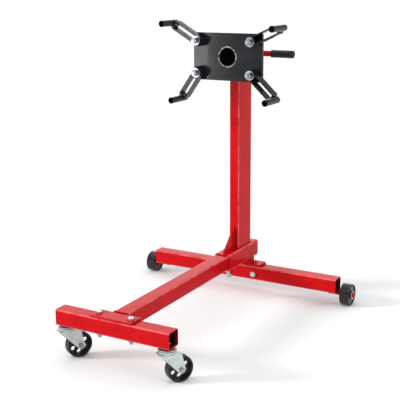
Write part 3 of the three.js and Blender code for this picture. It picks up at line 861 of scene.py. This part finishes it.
def build_caster(side):
    swivel = JOINTS[f"caster_{side}_swivel"]["pos_m"]
    spin = JOINTS[f"caster_wheel_{side}_spin"]
    axle = Vector(spin["axis"])
    wheel_at = Vector(spin["pos_m"])
    trail = Vector((wheel_at.x - swivel[0], wheel_at.y - swivel[1], 0.0))
    reach = trail.length
    bar_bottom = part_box("front_crossbar")[0].z
    up = Matrix.Translation((swivel[0], swivel[1], 0.0))

    # upper race and stem, fixed to the crossbar
    stem_low, stem_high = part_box(f"caster_stem_{side}")
    top = bar_bottom - 0.3 * MM
    base = stem_low.z
    profile = [
        (2 * MM, base + 2 * MM), (20 * MM, base + 2 * MM), (21.5 * MM, base + 0.6 * MM),
        (27 * MM, base + 0.6 * MM), (27 * MM, base + 3.4 * MM), (16 * MM, base + 4.2 * MM),
        (14 * MM, top), (2 * MM, top),
    ]
    sizes = [0, 0.6, 0.6, 1.4, 1.4, 1.2, 0.5, 0]
    race = lathe(rounded(profile, [s * MM for s in sizes]), 72)
    stem = loft(
        [circle(M12_RADIUS, top - 1 * MM), circle(M12_RADIUS, top + 1 * MM)]
        + thread_rings(M12_RADIUS, top + 1.5 * MM, stem_high.z, M12_PITCH)
        + [circle(4.2 * MM, stem_high.z)]
    )
    mesh = moved(join(race, stem), up)
    piece(f"caster_race_{side}", mesh, "front_leg", "zinc", [f"caster_stem_{side}"], FORK)
    nut_piece(f"caster_nut_{side}", "z", "front_leg", M12_FLATS, M12_RADIUS)

    # fork
    fork_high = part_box(f"caster_fork_{side}")[1]
    gap_low = 94 * MM
    rim = fork_high.z - 0.8 * MM
    profile = [
        (1 * MM, 90.5 * MM), (20 * MM, 90.5 * MM), (22 * MM, 91 * MM), (24 * MM, gap_low),
        (27 * MM, rim - 3.6 * MM), (27 * MM, rim), (22 * MM, rim), (20 * MM, rim - 3 * MM),
        (1 * MM, rim - 3 * MM),
    ]
    sizes = [0, 3, 2, 1.5, 1.5, 1.5, 1.5, 1, 0]
    crown = lathe(rounded(profile, [s * MM for s in sizes]), 72)
    inner = 14.5 * MM
    outer = 17.5 * MM
    hub = 12 * MM
    outline = [(-27 * MM, 95 * MM), (-27 * MM, 90 * MM)]
    for k in range(15):
        angle = math.pi * (1.24 + (2.04 - 1.24) * k / 14)
        outline.append((reach + hub * math.cos(angle), wheel_at.z + hub * math.sin(angle)))
    outline += [(38 * MM, 88 * MM), (35 * MM, 95 * MM)]
    plates = []
    for sign in (-1, 1):
        plate = prism(outline, -outer, -inner, 0.7 * MM)
        plate.transform(Matrix(((1, 0, 0, 0), (0, 0, 1, 0), (0, 1, 0, 0), (0, 0, 0, 1))))
        if sign > 0:
            plate.transform(Matrix.Scale(-1, 4, (0, 1, 0)))
        bmesh.ops.recalc_face_normals(plate, faces=plate.faces)
        plates.append(plate)
    bridge = box_between((-26.5 * MM, -outer, 90.8 * MM), (34 * MM, outer, 94.8 * MM), 1.6 * MM)
    local = frame_of(trail, (0, 0, 1), (swivel[0], swivel[1], 0.0))
    mesh = moved(join(crown, bridge, *plates), local)
    node = f"caster_fork_{side}"
    piece(f"{node}_stamped", mesh, f"caster_{side}", "zinc", [node], FORK)

    # axle bolt and nut
    face = outer + 0.3 * MM
    along = frame_of(trail, axle, wheel_at)
    bolt = moved(bolt_mesh(13 * MM, 5.3 * MM, 4 * MM, 2 * face + 8.8 * MM, 12 * MM, 1.25 * MM),
                 Matrix.Translation((0, 0, -face)))
    nut = moved(nut_mesh(13 * MM, 6.8 * MM, 4 * MM), Matrix.Translation((0, 0, face)))
    sleeve = ring_solid(6.5 * MM, 3.9 * MM, -inner, inner, 0.4 * MM)
    mesh = moved(join(bolt, nut, sleeve), along)
    piece(f"caster_axle_{side}_bolt", mesh, f"caster_{side}", "zinc", [f"caster_axle_{side}"])

    # wheel with round holes through its web
    node = f"caster_wheel_{side}"
    low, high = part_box(node)
    radius = (high.z - low.z) / 2
    half = 13 * MM
    web = 3 * MM
    rim = radius - 7.5 * MM
    profile = [
        (6.8 * MM, -half), (10.5 * MM, -half), (11.5 * MM, -web), (rim - 1 * MM, -web),
        (rim, -half), (radius, -half), (radius, half), (rim, half),
        (rim - 1 * MM, web), (11.5 * MM, web), (10.5 * MM, half), (6.8 * MM, half),
    ]
    sizes = [0.5, 0.8, 1.6, 1.6, 0.9, 5.0, 5.0, 0.9, 1.6, 1.6, 0.8, 0.5]
    body = lathe(rounded(profile, [s * MM for s in sizes], 6), 96, closed=True)
    holes = []
    for i in range(6):
        angle = (i + 0.55) * math.pi / 3
        cutter = lathe([
            (8.2 * MM, -web - 1 * MM), (7.2 * MM, -web + 0.1 * MM), (6.8 * MM, -web + 0.6 * MM),
            (6.8 * MM, web - 0.6 * MM), (7.2 * MM, web - 0.1 * MM), (8.2 * MM, web + 1 * MM),
        ], 40)
        place = Matrix.Translation((22.5 * MM * math.cos(angle), 22.5 * MM * math.sin(angle), 0.0))
        holes.append(moved(cutter, place))
    mesh = moved(with_holes(body, join(*holes)), frame_of(trail, axle, wheel_at))
    piece(f"{node}_moulded", mesh, node, "caster_plastic", [node])


def build_housing():
    low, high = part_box("shaft_housing")
    centre = (low + high) / 2
    half = (high.y - low.y) / 2
    radius = (high.z - low.z) / 2
    mesh = moved(ring_solid(radius, 32.1 * MM, -half, half, 1.2 * MM, 96), at("y", centre))
    pin = middle("lock_pin")
    pin_place = Matrix.Translation((pin.x, pin.y, 0))
    drill = lathe([(PIN_HOLE, centre.z + 20 * MM), (PIN_HOLE, centre.z + radius + PAST)])
    mesh = with_holes(mesh, moved(drill, pin_place))
    piece("housing_tube", mesh, "base", "red_paint", ["shaft_housing"])

    low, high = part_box("pin_boss")
    base = centre.z + radius - 1.5 * MM
    mesh = moved(ring_solid(11 * MM, PIN_HOLE, base, high.z, 1 * MM), pin_place)
    piece("pin_boss_turned", mesh, "base", "red_paint", ["pin_boss"])
    seam = []
    for x, y, _ in circle(11.6 * MM, 0.0, 48):
        seam.append((pin.x + x, pin.y + y, centre.z + math.sqrt(radius ** 2 - x ** 2)))
    weld("pin_boss", seam, 1.8 * MM, "base", True)

    low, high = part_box("lock_pin")
    profile = [
        (0.5 * MM, low.z), (4.4 * MM, low.z), (6 * MM, low.z + 3 * MM), (6 * MM, high.z - 5 * MM),
        (5.2 * MM, high.z - 4.6 * MM), (5.2 * MM, high.z - 3.6 * MM), (6 * MM, high.z - 3.2 * MM),
        (6 * MM, high.z), (0.5 * MM, high.z),
    ]
    mesh = lathe(rounded(profile, [0, 0.5 * MM, 0.8 * MM, 0, 0, 0, 0, 1.2 * MM, 0]), 48)
    piece("lock_pin_rod", moved(mesh, pin_place), "lock_pin", "zinc", ["lock_pin"])

    low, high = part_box("lock_pin_handle")
    level = (low.z + high.z) / 2
    half = (high.x - low.x) / 2
    eye = moved(ring_solid(9 * MM, 6.2 * MM, low.z, high.z, 1 * MM), pin_place)
    bars = []
    for sign in (-1, 1):
        profile = [(0.6 * MM, 7 * MM), (5 * MM, 7 * MM), (5 * MM, half), (0.6 * MM, half)]
        arm = lathe(rounded(profile, [0, 0, 2.4 * MM, 0], 5), 36)
        bars.append(moved(arm, at("x", (pin.x, pin.y, level), sign < 0)))
    piece("lock_pin_tee", join(eye, *bars), "lock_pin", "zinc", ["lock_pin_handle"])


def build_head():
    low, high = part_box("head_shaft")
    centre = (low + high) / 2
    half = (high.y - low.y) / 2
    mesh = moved(ring_solid(31.75 * MM, 28.75 * MM, -half, half, 0.6 * MM, 96), at("y", centre))
    drills = []
    for i in range(8):
        drill = lathe([(6.5 * MM, 20 * MM), (6.5 * MM, 40 * MM)])
        place = Matrix.Translation((centre.x, middle("lock_pin").y, centre.z))
        drills.append(moved(drill, place @ Matrix.Rotation(i * math.pi / 4, 4, "Y")))
    bar = middle("handle_bar")
    drill = lathe([(10.4 * MM, -40 * MM), (10.4 * MM, 40 * MM)])
    drills.append(moved(drill, at("x", (centre.x, bar.y, bar.z))))
    mesh = with_holes(mesh, join(*drills))

    # the bore's walls get the unpainted steel black, which is partly painted shade
    def bare_with_shade(point):
        return 1.0 if math.hypot(point.x - centre.x, point.z - centre.z) < 28.9 * MM else 0.0

    piece("head_tube", mesh, "head", "black_paint", ["head_shaft"], bare_with_shade=bare_with_shade)

    low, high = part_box("head_plate")
    middle_z = centre.z
    width, height, depth = high.x - low.x, high.z - low.z, high.y - low.y
    bore = 31.9 * MM
    corners = [(0, -depth / 2), (0, depth / 2), (12 * MM, depth / 2), (12 * MM, -depth / 2)]
    rings = [
        rectangle_ring(height - 2 * inset, width - 2 * inset, 6 * MM - inset, level, 6, 14)
        for inset, level in rounded(corners, 1.1 * MM, 4) if inset < 6 * MM
    ]
    shape = rings[0]
    for level in (depth / 2, -depth / 2):
        ring = []
        for x, y, _ in shape:
            length = math.hypot(x, y)
            ring.append((x / length * bore, y / length * bore, level))
        rings.append(ring)
    place = at("y", (centre.x, (low.y + high.y) / 2, middle_z))
    mesh = moved(loft(rings, closed=True), place)
    drills = []
    for arm in ARMS:
        bolt = middle(f"arm_bolt_{arm}")
        drill = lathe([(M12_HOLE, low.y - PAST), (M12_HOLE, high.y + PAST)])
        drills.append(moved(drill, at("y", (bolt.x, 0.0, bolt.z))))
    mesh = with_holes(mesh, join(*drills))
    piece("mounting_plate", mesh, "head", "black_paint", ["head_plate"])
    front = (centre.x, low.y + 0.1 * MM, middle_z)
    seam = round_path(33.0 * MM, "y", front, 96)
    weld("bore_front", seam, 1.7 * MM, "head", True, "black_paint", BARE)
    seam = round_path(33.4 * MM, "y", (centre.x, high.y + 0.2 * MM, middle_z), 96)
    weld("bore_back", seam, 2.6 * MM, "head", True, "black_paint")

    low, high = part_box("retaining_ring")
    thick = high.y - low.y
    outer = (high.x - low.x) / 2
    ring = ring_solid(outer, 32.0 * MM, -thick / 2, thick / 2, 1 * MM, 96)
    screw = ring_solid(3.4 * MM, 1.6 * MM, outer - 1.6 * MM, outer + 0.1 * MM, 0.4 * MM, 24)
    screw = moved(screw, Matrix.Rotation(math.radians(-90), 4, "Y"))
    mesh = moved(join(ring, screw), at("y", middle("retaining_ring")))
    piece("retaining_collar", mesh, "head", "zinc", ["retaining_ring"])


def build_arm(name):
    slide = JOINTS[f"arm_{name}_slide"]
    axis = Vector(slide["axis"])
    tip = Vector(MOUNTS[f"arm_tip_{name}"]["pos_m"])
    low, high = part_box(f"arm_{name}")
    clamp = middle(f"arm_bolt_{name}")
    tube_at = Vector((tip.x, 0.0, tip.z - 9.7 * MM))
    reach = (tube_at - Vector((clamp.x, 0.0, clamp.z))).length
    back = high.y
    depth = 33.5 * MM
    long = 126 * MM
    tube_radius = 11 * MM
    outer = reach - tube_radius + 1 * MM
    inner = reach - long
    local = frame_of(axis, (0, 1, 0), (clamp.x, 0.0, clamp.z))
    rails = square_tube(outer - inner, 30 * MM, 3.5 * MM, 5 * MM, back - depth, back, 0.8 * MM)
    rails = moved(rails, Matrix.Translation(((outer + inner) / 2, 0.0, 0.0)))
    piece(f"arm_{name}_rails", moved(rails, local), f"arm_{name}", "black_paint", [f"arm_{name}"])
    tube = ring_solid(tube_radius, 8.5 * MM, low.y, back, 0.8 * MM, 64)
    tube = moved(tube, Matrix.Translation((reach, 0.0, 0.0)))
    piece(f"arm_{name}_tube", moved(tube, local), f"arm_{name}", "black_paint")
    for i, sign in enumerate((-1, 1)):
        side = math.radians(118)
        x = reach + tube_radius * math.cos(side) - 0.6 * MM
        y = sign * (tube_radius * math.sin(side) + 0.2 * MM)
        seam = [
            local @ Vector((x, y, level))
            for level in (back - 1.5 * MM, back - depth + 1.5 * MM)
        ]
        weld(f"arm_{name}_{'ab'[i]}", seam, 2.2 * MM, f"arm_{name}", slot="black_paint")

    body = f"arm_clamp_{name}"
    node = f"arm_washer_{name}"
    washer_low, washer_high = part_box(node)
    thick = washer_high.y - washer_low.y
    mesh = ring_solid(16 * MM, 6.3 * MM, -thick / 2, thick / 2, 0.7 * MM, 64)
    piece(f"{node}_round", moved(mesh, at("y", middle(node))), body, "zinc", [node])
    nut_piece(f"arm_nut_{name}", "y", body, M12_FLATS, M12_RADIUS)
    nut_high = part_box(f"arm_nut_{name}")[1].y
    points = []
    for k in range(41):
        angle = math.radians(40 + 342 * k / 40)
        y = nut_high + (0.95 + 1.4 * k / 40) * MM
        across, up = 8.4 * MM * math.cos(angle), 8.4 * MM * math.sin(angle)
        points.append(Vector((clamp.x + across, y, clamp.z + up)))
    spring = sweep(points, lambda _: 1.5 * MM, sides=4, up=(0.0, 1.0, 0.0))
    piece(f"spring_washer_{name}", spring, body, "zinc")
    bolt_piece(f"arm_bolt_{name}", "y", -1, body, *M12_BOLT, 34 * MM)


def build_handle():
    low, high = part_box("handle_bar")
    centre = (low + high) / 2
    profile = [(0.5 * MM, low.x), (10 * MM, low.x), (10 * MM, high.x), (0.5 * MM, high.x)]
    mesh = lathe(rounded(profile, [0, 2.2 * MM, 1 * MM, 0], 5), 64)
    place = at("x", (0.0, centre.y, centre.z))
    piece("handle_rod", moved(mesh, place), "handle", "red_paint", ["handle_bar"])

    low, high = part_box("handle_grip")
    r = (high.z - low.z) / 2
    body = r - 0.5 * MM
    groove = body - 0.35 * MM
    profile = [(10.1 * MM, low.x + 1 * MM), (r - 1 * MM, low.x), (r, low.x + 1.2 * MM),
               (r, low.x + 4 * MM), (body, low.x + 5.5 * MM)]
    ribs = 11
    start, end = low.x + 8 * MM, high.x - 16 * MM
    for k in range(ribs):
        x = start + (end - start) * k / (ribs - 1)
        profile += [(body, x - 0.9 * MM), (groove, x - 0.4 * MM), (groove, x + 0.4 * MM),
                    (body, x + 0.9 * MM)]
    neck = body - 0.7 * MM
    profile += [(body, high.x - 11.5 * MM), (neck, high.x - 11 * MM), (neck, high.x - 9.8 * MM),
                (r, high.x - 9.2 * MM)]
    dome = 6 * MM
    for k in range(9):
        turn = math.radians(90 * k / 8)
        profile.append((r - dome + dome * math.cos(turn), high.x - dome + dome * math.sin(turn)))
    profile += [(4.2 * MM, high.x), (3.9 * MM, high.x - 0.7 * MM), (3.0 * MM, high.x - 0.7 * MM),
                (2.7 * MM, high.x - 0.1 * MM), (0.5 * MM, high.x - 0.1 * MM)]
    mesh = lathe(profile, 72)
    piece("handle_grip_moulded", moved(mesh, place), "handle", "grip_foam", ["handle_grip"])


# ---- Stage ----
def build_stage():
    data = bpy.data.meshes.new("floor")
    size = 400.0
    corners = [(-size, -size, 0), (size, -size, 0), (size, size, 0), (-size, size, 0)]
    data.from_pydata(corners, [], [(0, 1, 2, 3)])
    floor = bpy.data.objects.new("floor", data)
    n = Nodes("floor_paper")
    tone = n.remap(n.noise(3.0, 2.0), 0.3, 0.7, 0.0, 1.0)
    color = n.blend(tone, (0.795, 0.820, 0.820), (0.81, 0.835, 0.835))
    set_shader(n, color, 0.9, Specular_IOR_Level=0.1)
    data.materials.append(n.material)
    bpy.context.scene.collection.objects.link(floor)

    # a dome that is bright overhead, dim lower down and white where it meets the floor
    world = bpy.data.worlds.new("studio")
    bpy.context.scene.world = world
    world.use_nodes = True
    tree = world.node_tree
    direction = tree.nodes.new("ShaderNodeTexCoord").outputs["Generated"]
    parts = tree.nodes.new("ShaderNodeSeparateXYZ")
    tree.links.new(direction, parts.inputs["Vector"])
    total = tree.nodes.new("ShaderNodeMath")
    for i, values in enumerate(((0.30, 0.92, 0.42, 1.36), (0.12, 0.28, 0.62, 0.0))):
        ramp = tree.nodes.new("ShaderNodeMapRange")
        ramp.interpolation_type = "SMOOTHSTEP"
        for socket, value in zip(("From Min", "From Max", "To Min", "To Max"), values):
            ramp.inputs[socket].default_value = value
        tree.links.new(parts.outputs["Z"], ramp.inputs["Value"])
        tree.links.new(ramp.outputs["Result"], total.inputs[i])
    background = tree.nodes["Background"]
    background.inputs["Color"].default_value = (1.0, 1.0, 1.0, 1.0)
    tree.links.new(total.outputs["Value"], background.inputs["Strength"])

    def aim(data, name, place, target):
        thing = bpy.data.objects.new(name, data)
        thing.location = place
        thing.rotation_mode = "QUATERNION"
        thing.rotation_quaternion = (Vector(target) - Vector(place)).to_track_quat("-Z", "Y")
        thing.visible_camera = False
        bpy.context.scene.collection.objects.link(thing)
        return thing

    def panel(name, place, target, size, power):
        lamp = bpy.data.lights.new(name, "AREA")
        lamp.shape = "RECTANGLE"
        lamp.size, lamp.size_y = size
        lamp.energy = power
        return aim(lamp, name, place, target)

    sun = bpy.data.lights.new("key", "SUN")
    sun.energy = 2.5
    sun.angle = math.radians(11)
    key = aim(sun, "key", (-0.77, -0.53, 0.35), (0.0, 0.0, 0.0))
    panel("left_panel", (-1.794, -2.594, 0.57), (0.0, 0.25, 0.85), (0.22, 0.70), 6.3)
    fill = panel("right_panel", (2.6, -1.1, 1.3), (0.0, 0.0, 0.6), (0.6, 1.6), 14.0)
    # these two light the surfaces but leave no mirror image of themselves
    for lamp in (key, fill):
        lamp.visible_glossy = False
    sheen = panel("back_panel", (-2.3, 3.6, 1.7), (0.0, 0.0, 0.2), (4.4, 2.6), 52.0)
    # and this one shows only as gloss
    sheen.visible_diffuse = False

    camera_data = bpy.data.cameras.new("camera")
    camera_data.sensor_width = 36.0
    camera_data.lens = 80.4
    camera_data.clip_end = 2000.0
    camera = bpy.data.objects.new("camera", camera_data)
    yaw, pitch, roll = math.radians(29.77), math.radians(14.07), math.radians(-0.40)
    level = math.cos(pitch)
    forward = Vector((-math.sin(yaw) * level, math.cos(yaw) * level, -math.sin(pitch)))
    right = Vector((math.cos(yaw), math.sin(yaw), 0.0))
    up = right.cross(forward)
    c, s = math.cos(roll), math.sin(roll)
    right, up = right * c + up * s, up * c - right * s
    turn = Matrix((right, up, -forward)).transposed().to_4x4()
    camera.matrix_world = Matrix.Translation((1.4032, -2.3881, 1.1095)) @ turn
    bpy.context.scene.collection.objects.link(camera)
    bpy.context.scene.camera = camera
    bpy.context.scene.view_settings.view_transform = "Standard"


build_stage()
build_rear()
for side_name, side_sign in SIDES:
    build_rear_wheel(side_name, side_sign)
    build_caster(side_name)
build_leg_and_sleeve()
build_post()
build_front()
build_housing()
build_head()
for arm_name in ARMS:
    build_arm(arm_name)
build_handle()
